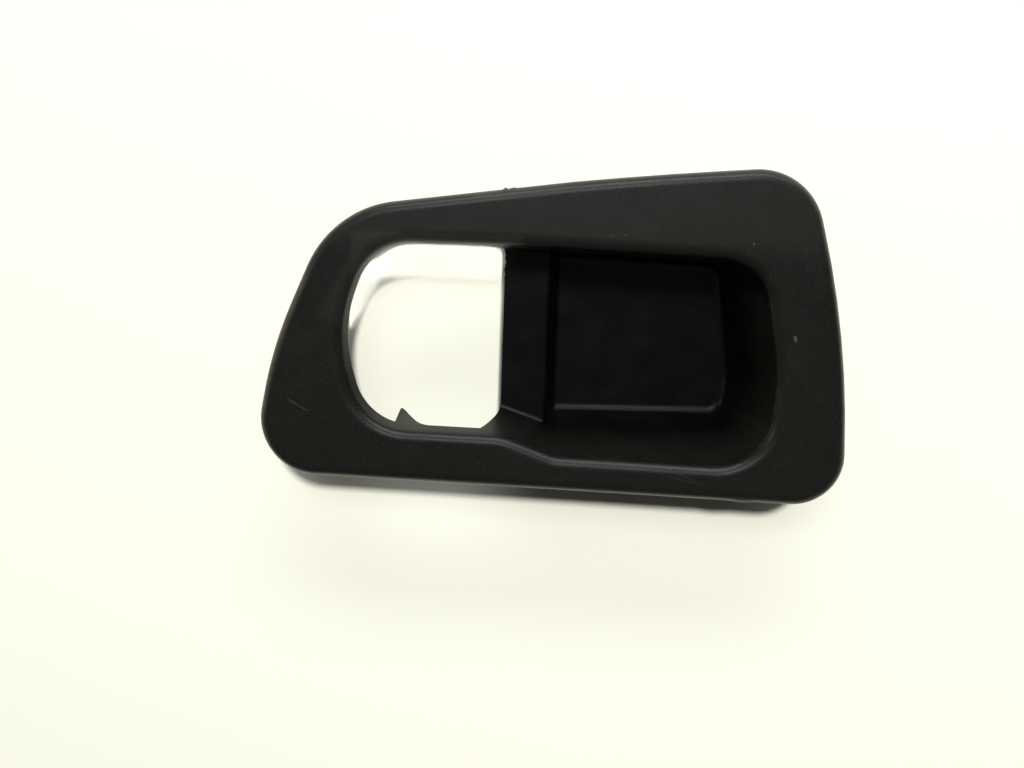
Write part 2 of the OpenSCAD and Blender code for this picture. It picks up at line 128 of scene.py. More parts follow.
# Chips and burrs along the ledge's end: (y, half width, how far the edge gives way)
END_CHIPS = [
    (20.3, 0.5, 0.2), (19.2, 0.35, -0.15), (18.2, 0.4, 0.18), (16.6, 0.5, 0.45), (15.1, 0.4, 0.12),
    (14.5, 0.6, -0.25), (13.2, 0.3, 0.15), (12.3, 0.4, -0.12),
]
CHIP_REACH = 1.2

# Fineness of the mesh: largest turn and fewest steps of a corner, longest stretch between
# corners and along the flange, and the steps of each part
ARC_STEP = 2.5
ARC_LEAST = 4
RUN_STEP = 0.7
FLANGE_STEP = 1.5
EDGE_STEPS = 10
RIM_STEPS = 3
SKIRT_STEPS = 4
HOLLOW_STEPS = 6
MID_ROWS = 6
BENDS = 7
LEDGE_STEPS = 24
FLOOR_STEPS = 10
SWEEP_STEPS = 16
TIP_STEPS = 4
HOOK_FOOT_STEPS = 8
ACROSS = 64
# Smallest radius that an outline's corner keeps
LEAST_R = 0.8
# Width of the narrow flat strip kept beside each rounded edge, so that flats shade flat
GUARD = 0.25
# Doubled points are merged and slivers dissolved below these lengths
MERGED = 0.002
SLIVER = 0.001
# Edges that turn by more than this are shaded sharp
SHARP_ANGLE = 40.0
# Stand for the two long walls where a column otherwise has its corner's number
UPPER, LOWER = -1, -2
# Numbers of the corners of the mouth's lower side, which ends at the start of the last one, and
# of the corners round the pocket
LOWER_CORNERS = (2, 3, 4, 5)
POCKET_CORNERS = (5, 6, 7)


def unit(angle):
    """Unit vector at an angle."""
    angle = np.radians(angle)
    return np.stack([np.cos(angle), np.sin(angle)], axis=-1)


def mix(a, b, share):
    return a + (b - a) * share


def sin(angle):
    return math.sin(math.radians(angle))


def cos(angle):
    return math.cos(math.radians(angle))


def tan(angle):
    return math.tan(math.radians(angle))


def turn(a, b):
    """Angle from a to b, between -180 and 180."""
    return (b - a + 540) % 360 - 180


def grown(edge, out):
    """Edge moved outwards."""
    return (edge[0], edge[1] + out)


def crossing(a, b):
    """Point where two edges cross."""
    x = a[1] * sin(b[0]) - b[1] * sin(a[0])
    y = b[1] * cos(a[0]) - a[1] * cos(b[0])
    return np.array([x, y]) / sin(b[0] - a[0])


def arc_points(here, after, r, shares):
    """Points at shares of the arc that joins two edges."""
    centre = crossing(grown(here, -r), grown(after, -r))
    return centre + r * unit(here[0] + turn(here[0], after[0]) * np.asarray(shares, float))


def arc_shares(here, after):
    steps = max(ARC_LEAST, math.ceil(abs(turn(here[0], after[0])) / ARC_STEP))
    return np.linspace(0, 1, steps + 1)


def quarter(steps=EDGE_STEPS):
    return np.linspace(0, 90, steps + 1)


# Face outline
SIDES = len(FACE_EDGES)


def face_arc(i, inward):
    here = grown(FACE_EDGES[i], -inward)
    after = grown(FACE_EDGES[(i + 1) % SIDES], -inward)
    return arc_points(here, after, max(FACE_RADII[i] - inward, LEAST_R), arc_shares(here, after))


def run_steps(i):
    gap = face_arc((i + 1) % SIDES, 0)[0] - face_arc(i, 0)[-1]
    return math.ceil(np.linalg.norm(gap) / RUN_STEP)


FACE_RUNS = [run_steps(i) for i in range(SIDES)]


def face_ring(inward, depth):
    arcs = [face_arc(i, inward) for i in range(SIDES)]
    ring = []
    for i in range(SIDES):
        last, first = arcs[i][-1], arcs[(i + 1) % SIDES][0]
        ring += list(arcs[i])
        ring += [mix(last, first, k / FACE_RUNS[i]) for k in range(1, FACE_RUNS[i])]
    return np.column_stack([np.array(ring), np.full(len(ring), -depth)])


outline = face_ring(0, 0)
MIDDLE = (outline.min(0)[:2] + outline.max(0)[:2]) / 2

# Mouth's walls. A column is (corner or long wall, share or x, x behind, bottom, foot's radius).
COUNT = len(MOUTH_EDGES)
FLOOR_EDGES = [
    (edge[0] + turned, edge[1] - POCKET_DEPTH * tan(draft))
    for edge, turned, draft in zip(MOUTH_EDGES, FLOOR_TURNS, DRAFTS)
]
SHARES = [arc_shares(MOUTH_EDGES[i], MOUTH_EDGES[i + 1]) for i in range(len(MOUTH_RADII))]


def rounding(run, draft, r):
    """How far a round of radius r leaves a drafted wall, at a distance from its flat neighbour."""
    if r <= 0 or run >= r * (1 - sin(draft)):
        return 0.0
    return r * tan(45 - draft / 2) - math.sqrt(max(0, run * (2 * r - run))) + run * tan(draft)


def growths(col, depth, out, inset):
    """How far each of the mouth's edges lies outside its drafted wall."""
    grows = []
    for draft in DRAFTS:
        grow = out / cos(draft) if out else rounding(depth, draft, LIP_R)
        if col[4]:
            grow -= rounding(col[3] + out - depth, draft, col[4] + out)
        grows.append(grow - inset)
    return grows


def wall_edges(col, depth, out, inset):
    """The mouth's edges and radii at a depth."""
    grows = growths(col, depth, out, inset)
    share = depth / POCKET_DEPTH
    edges = [
        (mix(a[0], b[0], share), mix(a[1], b[1], share) + grow)
        for a, b, grow in zip(MOUTH_EDGES, FLOOR_EDGES, grows)
    ]
    radii = []
    for i, (above, below) in enumerate(zip(MOUTH_RADII, FLOOR_RADII)):
        r = mix(above, below, share)
        moved = r + (grows[i] + grows[(i + 1) % COUNT]) / 2
        radii.append(max(moved, LEAST_R) if r > 0 else min(moved, -LEAST_R))
    return edges, radii


def edge_y(edge, x):
    """Place of an edge across the length, at a place along it."""
    return (edge[1] - x * cos(edge[0])) / sin(edge[0])


def wall_point(col, depth, out, inset=0.0):
    """Point of a column at a depth, on the wall's front (out 0) or rear (out WALL)."""
    edges, radii = wall_edges(col, depth, out, inset)
    side = col[0]
    x = mix(col[1], col[2], out / WALL)
    if side == UPPER:
        y = min(edge_y(edge, x) for edge in (edges[0], edges[-1]))
    elif side == LOWER:
        last = LOWER_CORNERS[-1]
        chain = np.vstack([
            arc_points(edges[i], edges[i + 1], radii[i], SHARES[i] if i < last else [0])
            for i in LOWER_CORNERS
        ])
        y = np.interp(x, chain[:, 0], chain[:, 1])
    else:
        x, y = arc_points(edges[side], edges[(side + 1) % COUNT], radii[side], [col[1]])[0]
    return (x, y - MOUTH_BELOW, -depth)


# Ledge, step and floor. The floor's lower edge is straight from here on.
SLOPE_END = crossing(MOUTH_EDGES[4], MOUTH_EDGES[5])[0] + MOUTH_RADII[4]


def step_line(depth, out):
    """Place of the step's drafted face along the length."""
    return LEDGE_END + (depth - LEDGE_DEPTH) * tan(STEP_DRAFT) - out / cos(STEP_DRAFT)


def stations(out):
    """Ledge, step and floor seen from the front edge, as (x, depth, radius of the foot)."""
    level, ground = LEDGE_DEPTH + out, POCKET_DEPTH + out
    foot_r = STEP_FOOT_R + out
    bends = np.linspace(0, 90 - STEP_DRAFT, BENDS + 1)
    edge_x = step_line(level + STEP_EDGE_R, out) - STEP_EDGE_R / cos(STEP_DRAFT)
    foot_x = step_line(ground - foot_r, out) + foot_r / cos(STEP_DRAFT)
    end = LEDGE_START + RIM_R
    fall = RIM_R if out == 0 else -RIM_R
    rim = [(end - RIM_R * sin(a), level + fall * (1 - cos(a))) for a in quarter(RIM_STEPS)[::-1]]
    edge = [(edge_x + STEP_EDGE_R * sin(a), level + STEP_EDGE_R * (1 - cos(a))) for a in bends]
    foot = [(foot_x - foot_r * sin(a), ground - foot_r * (1 - cos(a))) for a in bends[::-1]]
    ledge = [(mix(end, edge[0][0], k / LEDGE_STEPS), level) for k in range(1, LEDGE_STEPS)]
    floor = [
        (mix(foot[-1][0], SLOPE_END, k / FLOOR_STEPS), ground) for k in range(1, FLOOR_STEPS + 1)
    ]
    line = []
    for x, depth in rim + ledge + edge + foot + floor:
        share = (depth - out - LEDGE_DEPTH) / (POCKET_DEPTH - LEDGE_DEPTH)
        line.append((x, depth - out, mix(LEDGE_FOOT_R, FLOOR_R, min(max(share, 0), 1))))
    return line


# The same stations on the front and on the rear
INNER, REAR = stations(0.0), stations(WALL)
LAST = len(INNER) - 1


# Window's rim. Columns of the sweep step apart by this much, since no two may share a place.
SWEEP_SHIFT = 0.002
# Foot of the hook's straight side, as (x, depth) in radii of the rim, and how far right of its
# start the straight side stands half way up and at its tip
HOOK_CORNER = [(-0.7, 0), (-0.2, 0.2), (0, 1)]
HOOK_MID = 0.15
HOOK_TOP = 0.3
# Shares of the hook's flank at which a column stands
FLANK_SHARES = (0.15, 0.35, 0.6, 0.8)


def sweep_line():
    """Rim between ledge and flange, as (x, depth)."""
    line = []
    for k in range(1, SWEEP_STEPS + 1):
        share = 1 - cos(90 * k / SWEEP_STEPS)
        rise = (LEDGE_DEPTH - FLANGE_DEPTH) * share
        x = LEDGE_START - (SWEEP_R - math.sqrt(SWEEP_R ** 2 - rise ** 2))
        line.append((x - SWEEP_SHIFT * k, LEDGE_DEPTH - rise))
    return line


def hook_line():
    """Rim round the hook from its straight side to its foot, as (x, depth)."""
    curl = HOOK_FOOT_R * (1 - cos(HOOK_SLOPE))
    tip_end = HOOK_START + HOOK_TIP
    fall = HOOK_DEPTH - FLANGE_DEPTH - curl
    flank = fall / tan(HOOK_SLOPE)
    end = tip_end + flank + HOOK_FOOT_R * sin(HOOK_SLOPE)
    blunt = HOOK_TIP / 2
    top = HOOK_START + RIM_R * HOOK_TOP
    line = [(HOOK_START + RIM_R * x, FLANGE_DEPTH + RIM_R * down) for x, down in HOOK_CORNER]
    line.append((HOOK_START + RIM_R * HOOK_MID, mix(FLANGE_DEPTH, HOOK_DEPTH, 0.5)))
    line += [
        (top + blunt * (1 - cos(a)), HOOK_DEPTH - blunt * (1 - sin(a))) for a in quarter(TIP_STEPS)
    ]
    line += [(tip_end + flank * share, HOOK_DEPTH - fall * share) for share in FLANK_SHARES]
    line += [
        (end - HOOK_FOOT_R * sin(a), FLANGE_DEPTH + HOOK_FOOT_R * (1 - cos(a)))
        for a in np.linspace(HOOK_SLOPE, 0, HOOK_FOOT_STEPS + 1)
    ]
    return line


def rim_column(side, place):
    return (side, place[0], place[0], place[1], 0)


def floor_column(side, k):
    return (side, INNER[k][0], REAR[k][0], INNER[k][1], INNER[k][2])


def corner_columns(i, bottom, foot):
    return [(i, share, 0, bottom, foot) for share in SHARES[i]]


def flange_columns(side, xs):
    return [rim_column(side, (x, FLANGE_DEPTH)) for x in xs]


def rim_columns():
    """Columns along the window's open rim, counter-clockwise from the ledge's upper end."""
    sweep, hook = sweep_line(), hook_line()
    ledge_side, hook_side = sweep[-1][0], hook[-1][0]
    corner = crossing(MOUTH_EDGES[0], MOUTH_EDGES[1])[0] + MOUTH_RADII[0]
    columns = [rim_column(UPPER, place) for place in sweep]
    columns += flange_columns(UPPER, np.arange(ledge_side - FLANGE_STEP, corner, -FLANGE_STEP))
    columns += corner_columns(0, FLANGE_DEPTH, 0) + corner_columns(1, FLANGE_DEPTH, 0)
    columns += [
        col for col in corner_columns(2, FLANGE_DEPTH, 0)
        if wall_point(col, FLANGE_DEPTH, 0)[0] < HOOK_START - LEAST_R
    ]
    columns += [rim_column(LOWER, place) for place in hook]
    columns += flange_columns(LOWER, np.arange(hook_side + FLANGE_STEP, ledge_side, FLANGE_STEP))
    columns += [rim_column(LOWER, place) for place in sweep[::-1]]
    return columns


RIM_COLUMNS = rim_columns()
COLUMNS = (
    [floor_column(UPPER, 0)] + RIM_COLUMNS
    + [floor_column(LOWER, k) for k in range(LAST + 1)]
    + [col for i in POCKET_CORNERS for col in corner_columns(i, POCKET_DEPTH, FLOOR_R)]
    + [floor_column(UPPER, k) for k in range(LAST, 0, -1)]
)
# Columns at the ledge's lower end and at the two ends of the floor's straight part
LOW_LEDGE = len(RIM_COLUMNS) + 1
LOW_LAST = LOW_LEDGE + LAST
HIGH_LAST = len(COLUMNS) - LAST


def low_depths(col, top, out):
    """Depths down a column under its first round, down to the rim or round the foot."""
    if col[4]:
        r = col[4] + out
        foot = [col[3] + out - r * (1 - sin(a)) for a in quarter()]
        return [mix(top, foot[0], k / MID_ROWS) for k in range(1, MID_ROWS)] + foot
    rows = MID_ROWS + EDGE_STEPS
    return [mix(top, col[3] - RIM_R, k / rows) for k in range(1, rows + 1)]


def inner_depths(col):
    return [LIP_R * (1 - cos(a)) for a in quarter()] + low_depths(col, LIP_R, 0)


def rear_depths(col):
    return [PLATE] + low_depths(col, PLATE, WALL)


# Mesh under construction
verts, faces = [], []


def add(points):
    start = len(verts)
    verts.extend([tuple(float(v) for v in p) for p in points])
    return list(range(start, len(verts)))


def face(corners, flip=False):
    faces.append(tuple(corners[::-1]) if flip else tuple(corners))


def strip(first, second, flip=False):
    for i in range(len(first) - 1):
        face((first[i], first[i + 1], second[i + 1], second[i]), flip)


def band(first, second, flip=False):
    strip(first + first[:1], second + second[:1], flip)


def bands(rings, flip=False):
    for first, second in zip(rings, rings[1:]):
        band(first, second, flip)


def bearings(ids, start=0.0):
    """Bearings of points from the mouth's middle, counted from a first bearing."""
    points = np.array([verts[i] for i in ids])
    return (np.degrees(np.arctan2(points[:, 1] + MOUTH_BELOW, points[:, 0])) - start) % 360


def lined(outer, inner, flip=False):
    """Triangles between two rings that lie one in the other with unlike numbers of points."""
    start = bearings(inner[:1])[0]
    first = int(np.argmin(np.abs(turn(start, bearings(outer)))))
    outer = outer[first:] + outer[:first]
    outer_at = [0.0] + list(bearings(outer, start)[1:]) + [360.0]
    inner_at = [0.0] + list(bearings(inner, start)[1:]) + [360.0]
    i = j = 0
    while i < len(outer) or j < len(inner):
        if j >= len(inner) or (i < len(outer) and outer_at[i + 1] <= inner_at[j + 1]):
            face((outer[i], outer[(i + 1) % len(outer)], inner[j % len(inner)]), flip)
            i += 1
        else:
            face((outer[i % len(outer)], inner[(j + 1) % len(inner)], inner[j]), flip)
            j += 1


def skirt_rings():
    """From the rim's inside over the rim, up the skirt and over the rolled edge to the face."""
    low = SKIRT_DEPTH - RIM_R
    rim = quarter(SKIRT_STEPS)
    rings = [face_ring(PLATE - RIM_R * (1 - cos(a)), low + RIM_R * sin(a)) for a in rim]
    rings += [face_ring(RIM_R * (1 - sin(a)), low + RIM_R * cos(a)) for a in rim]
    rings += [face_ring(0, mix(low, ROLL_R, k / SKIRT_STEPS)) for k in range(1, SKIRT_STEPS)]
    rings += [face_ring(ROLL_R * (1 - cos(a)), ROLL_R * (1 - sin(a))) for a in quarter()]
    return [add(ring) for ring in rings + [face_ring(ROLL_R + GUARD, 0)]]


def hollow_rings(rim):
    """Up the skirt's inside and round the corner under the plate."""
    low, top = SKIRT_DEPTH - RIM_R, PLATE + HOLLOW_R
    rings = [face_ring(PLATE, mix(low, top, k / SKIRT_STEPS)) for k in range(1, SKIRT_STEPS)]
    rings += [
        face_ring(PLATE + HOLLOW_R * (1 - cos(a)), top - HOLLOW_R * sin(a))
        for a in quarter(HOLLOW_STEPS)
    ]
    return [rim] + [add(ring) for ring in rings]


def wall_rows(depths, out):
    number = len(depths(COLUMNS[0]))
    return [add([wall_point(c, depths(c)[k], out) for c in COLUMNS]) for k in range(number)]


def tucked(row, out, flip):
    """Ledge, step and floor between the ends of the columns. Gives the ledge's end chain."""
    low = [LOW_LEDGE + k for k in range(LAST + 1)]
    high = [(len(COLUMNS) - k) % len(COLUMNS) for k in range(LAST + 1)]
    end = list(range(LOW_LAST, HIGH_LAST + 1))
    span = sorted(set(low + high + end))
    places = [wall_point(COLUMNS[i], COLUMNS[i][3] + out, out, GUARD) for i in span]
    guard = dict(zip(span, add(places)))
    for chain in (low, high[::-1], end):
        strip([row[i] for i in chain], [guard[i] for i in chain], flip)
    lines = [[guard[i] for i in low]]
    for k in range(1, ACROSS):
        ends = [(np.array(verts[guard[a]]), np.array(verts[guard[b]])) for a, b in zip(low, high)]
        lines.append(add([mix(a, b, k / ACROSS) for a, b in ends]))
    lines.append([guard[i] for i in high])
    for first, second in zip(lines, lines[1:]):
        strip(first, second, flip)
    rest = [line[-1] for line in lines[::-1]][1:-1]
    loop = [guard[i] for i in end] + rest
    centre = add([np.mean([verts[i] for i in loop], axis=0)])[0]
    for first, second in zip(loop, loop[1:] + loop[:1]):
        face((centre, first, second), flip)
    return [row[low[0]]] + [line[0] for line in lines] + [row[high[0]]]


def window_rim(inner, rear, inner_end, rear_end):
    """Rounded rim of the window, and the ledge's end face between its two skins."""
    window = list(range(LOW_LEDGE + 1))
    bend = quarter(RIM_STEPS)[1:]
    turns = [(RIM_R * (1 - cos(a)), RIM_R * sin(a)) for a in bend]
    turns += [(WALL - RIM_R * (1 - cos(a)), RIM_R * sin(a)) for a in bend[::-1]]
    row, chain = [inner[i] for i in window], inner_end
    for out, down in turns:
        share = out / WALL
        points = []
        for i in window:
            col = COLUMNS[i]
            if col[4]:
                points.append(mix(np.array(verts[inner[i]]), np.array(verts[rear[i]]), share))
            else:
                points.append(wall_point(col, col[3] - RIM_R + down, out))
        next_row = add(points)
        inside = add([
            mix(np.array(verts[a]), np.array(verts[b]), share)
            for a, b in zip(inner_end[1:-1], rear_end[1:-1])
        ])
        next_chain = [next_row[-1]] + inside + [next_row[0]]
        strip(row, next_row)
        strip(chain, next_chain)
        row, chain = next_row, next_chain
    strip(row, [rear[i] for i in window])
    strip(chain, rear_end)


def long_wall_y(side, x, depth):
    return wall_point((side, x, x, POCKET_DEPTH, 0), depth, WALL / 2)[1]


def skirt_y(side, x):
    if side == LOWER:
        return edge_y(grown(FACE_EDGES[4], -PLATE / 2), x)
    return min(edge_y(grown(edge, -PLATE / 2), x) for edge in FACE_EDGES[:2])


def cross_plate(side, x, wall, profile):
    """Plate across a long wall from a profile in (y, depth)."""
    left = add([(x - wall / 2, y, -depth) for y, depth in profile])
    right = add([(x + wall / 2, y, -depth) for y, depth in profile])
    flip = side == LOWER
    band(left, right, flip)
    face(left[::-1], flip)
    face(right, flip)


def rib(side, x, wall_end):
    cross_plate(side, x, RIB_WALL, [
        (long_wall_y(side, x, PLATE / 2), PLATE / 2),
        (long_wall_y(side, x, wall_end), wall_end),
        (skirt_y(side, x), SKIRT_DEPTH - RIB_SETBACK),
        (skirt_y(side, x), PLATE / 2),
    ])


def snap_lug(side, x):
    away = 1 if side == UPPER else -1
    top = long_wall_y(side, x, CATCH)
    cross_plate(side, x, LUG_W, [
        (top, CATCH),
        (long_wall_y(side, x, CATCH + LUG_RAMP), CATCH + LUG_RAMP),
        (top + away * (WALL / 2 + LUG_OUT), CATCH),
    ])


def build_skin():
    outer = skirt_rings()
    bands(outer)
    guard = add([wall_point(c, 0, 0, -GUARD) for c in COLUMNS])
    inner = wall_rows(inner_depths, 0)
    rear = wall_rows(rear_depths, WALL)
    lined(outer[-1], guard)
    bands([guard] + inner)
    bands(rear, flip=True)
    inner_end = tucked(inner[-1], 0.0, False)
    rear_end = tucked(rear[-1], WALL, True)
    window_rim(inner[-1], rear[-1], inner_end, rear_end)
    hollow = hollow_rings(outer[0])
    bands(hollow, flip=True)
    lined(hollow[-1], rear[0], flip=True)
    for side in (UPPER, LOWER):
        for x, wall_end in RIBS:
            rib(side, x, wall_end)
        snap_lug(side, LUG_AT)


def swell(x, at, half):
    """Smooth bump of height 1 that ends at a half width."""
    t = np.clip(np.abs(x - at) / half, 0, 1)
    return (1 - t * t) ** 2


def nubs(points):
    """Moulding nubs and the small rise on the outer edge."""
    x, y, depth = points[:, 0], points[:, 1], -points[:, 2]
    skirt = np.clip((SKIRT_DEPTH - depth) / SKIRT_DEPTH, 0, 1)
    for side, at, half, high in EDGE_NUBS:
        edge = FACE_EDGES[4] if side < 0 else FACE_EDGES[0] if at > 0 else FACE_EDGES[1]
        near = np.abs(y - edge_y(edge, at)) < ROLL_R * NUB_REACH
        mid = swell(depth, ROLL_R * NUB_HALF_DEPTH, ROLL_R * NUB_HALF_DEPTH)
        y = y + side * high * swell(x, at, half) * mid * near
    start, length, high = EDGE_RISE
    t = np.clip((x - start) / length, 0, 1)
    rise = high * t * t * (3 - 2 * t) * np.exp(-np.clip(x - start, 0, None) / RISE_FADE)
    top = np.clip(1 - (FACE_EDGES[0][1] - y) / (2 * ROLL_R), 0, 1)
    points[:, 1] = y + rise * top * (x < RISE_END) * (depth < SKIRT_DEPTH) * skirt
    return points


def chips(points):
    """Chipped and burred edge at the ledge's end."""
    x, y, depth = points[:, 0], points[:, 1], -points[:, 2]
    near = np.clip(1 - (x - LEDGE_START) / CHIP_REACH, 0, 1) * (x > LEDGE_START - RIM_R)
    on_ledge = (depth > LEDGE_DEPTH - RIM_R) & (depth < LEDGE_DEPTH + WALL + RIM_R)
    upper_edge = grown(MOUTH_EDGES[0], -LEDGE_DEPTH * tan(DRAFTS[0]))
    inside = y < edge_y(upper_edge, x) - MOUTH_BELOW - GUARD
    for at, half, give in END_CHIPS:
        points[:, 0] += give * swell(y, at, half) * near * on_ledge * inside
    return points


def cover_mesh():
    build_skin()
    points = chips(nubs(np.array(verts)))
    points = (points + [-MIDDLE[0], -MIDDLE[1], HEIGHT]) * MM
    mesh = bpy.data.meshes.new("trim_cover_skin")
    mesh.from_pydata([tuple(p) for p in points], [], faces)
    mesh.validate()
    work = bmesh.new()
    work.from_mesh(mesh)
    bmesh.ops.remove_doubles(work, verts=work.verts, dist=MERGED * MM)
    bmesh.ops.dissolve_degenerate(work, edges=work.edges, dist=SLIVER * MM)
    work.to_mesh(mesh)
    work.free()
    mesh.shade_smooth()
    mesh.set_sharp_from_angle(angle=math.radians(SHARP_ANGLE))
    return mesh


cover = bpy.data.objects.new("trim_cover_skin", cover_mesh())
bpy.context.scene.collection.objects.link(cover)
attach(cover, "root")
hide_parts("trim_cover")


# Material. Places are in millimetres in the object's own frame, colours are linear.
PLASTIC = (0.0058, 0.0058, 0.0044, 1)
# Darker plastic for the pocket: painted shade of the deep recess
PLASTIC_SHADED_IN_POCKET = (0.0007, 0.0008, 0.0005, 1)
DUST_AND_SHEEN = (0.024, 0.024, 0.02, 1)
SCUFF_AND_HIGHLIGHT = (0.06, 0.057, 0.048, 1)
BEIGE = (0.07, 0.062, 0.042, 1)
# Shine of the face and of the pocket, roughness, and how much of it the mottle adds
SHINE = 0.45
SHINE_IN_POCKET = 0.3
ROUGHNESS = 0.33
ROUGHNESS_SPREAD = 0.05
# Noises: cells per metre, detail
GRAIN = (2300, 2)
MOTTLE = (140, 5)
RAGGED = (460, 3)
# Values of the mottle between which the plastic turns from shiny to dull
DULLING = (0.3, 0.7)
# Relief of the grain: depth, strength, and share of the ragged noise in it
GRAIN_DEPTH = 0.05
GRAIN_STRENGTH = 0.35
RAGGED_SHARE = 0.6
# Heights over the table between which the plastic turns from the pocket's darker colour, painted
# shade of the deep recess, and lower shine to the face's colour and shine
POCKET_SHADE_HEIGHTS = (8.0, 22.0)
# Dusting and painted sheen: value where it starts, value where it is full, its share. The first two
# are a dusting that follows the mottle and the grain, the third follows y and is painted sheen that
# lightens the strip above the mouth.
MOTTLE_DUST = (0.42, 0.75, 0.07)
GRAIN_DUST = (0.54, 0.74, 0.5)
STRIP_SHEEN = (17.0, 25.0, 0.36)
# Rubbed stretches of the outer edge: (x from, x to, y from, y to, strength)
RUBBED = [
    (-75, -58, -30, 12, 0.6),
    (-21, 2, 30, 37, 0.3),
    (50, 62, 30, 42, 0.2),
    (60, 73, -39, -22, 0.2),
]
# Heights over the table between which the edge is rubbed, and the length of each fade
RUBBED_HEIGHTS = (21, 30)
RUBBED_FADE = 2
# Only the roll is rubbed: values of the normal's z between which the rubbing starts and stops
ROLL_START = (0.0, 0.35)
ROLL_STOP = (0.82, 0.99)
# Values of the ragged noise between which the rubbing grows, and its share below them
WORN = (0.25, 0.7, 0.3)
RUBBED_ROUGHNESS = 0.2
# Marks: (x, y, z from, x, y, z to, half width, strength), a point where both ends are one. Most are
# scratches and specks; the third is a painted highlight along the fillet between the ledge and the
# upper wall.
MARKS = [
    (-63.7, -18.7, 26, -58.7, -21.5, 26, 0.14, 0.6),
    (-11.8, 20.9, 22, -9.9, 21.7, 22.5, 0.16, 0.6),
    # Painted highlight: pale line along the fillet between the ledge and the upper wall
    (-9.0, 19.7, 10.2, -0.5, 19.7, 10.2, 0.3, 0.5),
    (30.0, -33.5, 26, 38.8, -35.2, 26, 0.25, 0.12),
    (32.5, -32.9, 26, 36.0, -34.0, 26, 0.2, 0.12),
    (67.2, 2.0, 25, 67.8, -4.5, 25, 0.12, 0.3),
    (57.0, 1.1, 26, 57.3, 0.2, 26, 0.3, 1.6),
    (46.2, 22.1, 26, 46.2, 22.1, 26, 0.28, 1.3),
    (13.2, 23.1, 26, 13.6, 23.1, 26, 0.18, 0.5),
    (16.6, 23.3, 26, 17.1, 23.2, 26, 0.18, 0.5),
    (39.0, 37.4, 25.2, 39.3, 37.4, 25.2, 0.3, 1.5),
]
# How ragged a mark's sides are, and between where they fade, in half widths
MARK_RAGGED = 1.6
MARK_FADE = (0.9, 2.2)


def shader(name):
    material = bpy.data.materials.new(name)
    material.use_nodes = True
    return material.node_tree, material


def plug(tree, socket, value):
    """Links a socket to an output, or sets its value."""
    if isinstance(value, bpy.types.NodeSocket):
        tree.links.new(value, socket)
    else:
        socket.default_value = value


def node(tree, kind, settings=None, **inputs):
    """New node with its settings, and its inputs set or linked by name or by _number."""
    made = tree.nodes.new("ShaderNode" + kind)
    for key, value in (settings or {}).items():
        setattr(made, key, value)
    for key, value in inputs.items():
        socket = int(key[1:]) if key[1:].isdigit() else key.replace("_", " ")
        plug(tree, made.inputs[socket], value)
    return made


def maths(tree, operation, first, *others):
    """One operation down a list of values."""
    for other in others:
        first = node(tree, "Math", {"operation": operation}, _0=first, _1=other).outputs[0]
    return first


def vector(tree, operation, first, second, out=0):
    return node(tree, "VectorMath", {"operation": operation}, _0=first, _1=second).outputs[out]


def ramp(tree, value, low, high, to_low=0.0, to_high=1.0):
    """Smooth change from one value to another."""
    made = node(
        tree, "MapRange", {"interpolation_type": "SMOOTHSTEP"}, Value=value,
        From_Min=low, From_Max=high, To_Min=to_low, To_Max=to_high,
    )
    return made.outputs["Result"]


def noise(tree, place, cells, detail):
    return node(tree, "TexNoise", Vector=place, Scale=cells, Detail=detail).outputs["Fac"]


def blend(tree, share, first, second):
    """Colour between two colours, which are inputs 6 and 7 of a mix node."""
    made = node(tree, "Mix", {"data_type": "RGBA"}, _0=share, _6=first, _7=second)
    return made.outputs[2]


def within(tree, value, low, high, soft):
    """1 between two places, in millimetres, with soft ends."""
    rise = ramp(tree, value, (low - soft) * MM, (low + soft) * MM)
    fall = ramp(tree, value, (high - soft) * MM, (high + soft) * MM, 1.0, 0.0)
    return maths(tree, "MULTIPLY", rise, fall)


def mark_mask(tree, place, mark, ragged):
    """Soft mask along a short line on the surface, with ragged sides."""
    start, end = Vector(mark[0:3]) * MM, Vector(mark[3:6]) * MM
    half, strength = mark[6] * MM, mark[7]
    length = (end - start).length
    away = vector(tree, "SUBTRACT", place, start)
    if length > 0:
        along = (end - start) / length
        run = vector(tree, "DOT_PRODUCT", away, along, 1)
        run = maths(tree, "MINIMUM", maths(tree, "MAXIMUM", run, 0.0), length)
        foot = node(tree, "VectorMath", {"operation": "SCALE"}, _0=along, _3=run).outputs[0]
        away = vector(tree, "SUBTRACT", away, foot)
    gap = vector(tree, "LENGTH", away, (0, 0, 0), 1)
    gap = maths(tree, "ADD", gap, maths(tree, "MULTIPLY", ragged, half * MARK_RAGGED))
    return ramp(tree, gap, half * MARK_FADE[0], half * MARK_FADE[1], strength, 0.0)


def rubbed_mask(tree, place, normal, ragged):
    """Where the rolled outer edge is rubbed pale."""
    split = node(tree, "SeparateXYZ", Vector=place).outputs
    upright = node(tree, "SeparateXYZ", Vector=normal).outputs["Z"]
    starts, stops = ramp(tree, upright, *ROLL_START), ramp(tree, upright, *ROLL_STOP, 1.0, 0.0)
    high = within(tree, split["Z"], *RUBBED_HEIGHTS, RUBBED_FADE)
    rolled = maths(tree, "MULTIPLY", starts, stops, high)
    patches = []
    for x_from, x_to, y_from, y_to, strength in RUBBED:
        across = within(tree, split["X"], x_from, x_to, RUBBED_FADE)
        along = within(tree, split["Y"], y_from, y_to, RUBBED_FADE)
        patches.append(maths(tree, "MULTIPLY", across, along, strength))
    worn = ramp(tree, ragged, *WORN, 1.0)
    return maths(tree, "MULTIPLY", rolled, maths(tree, "MAXIMUM", *patches), worn)


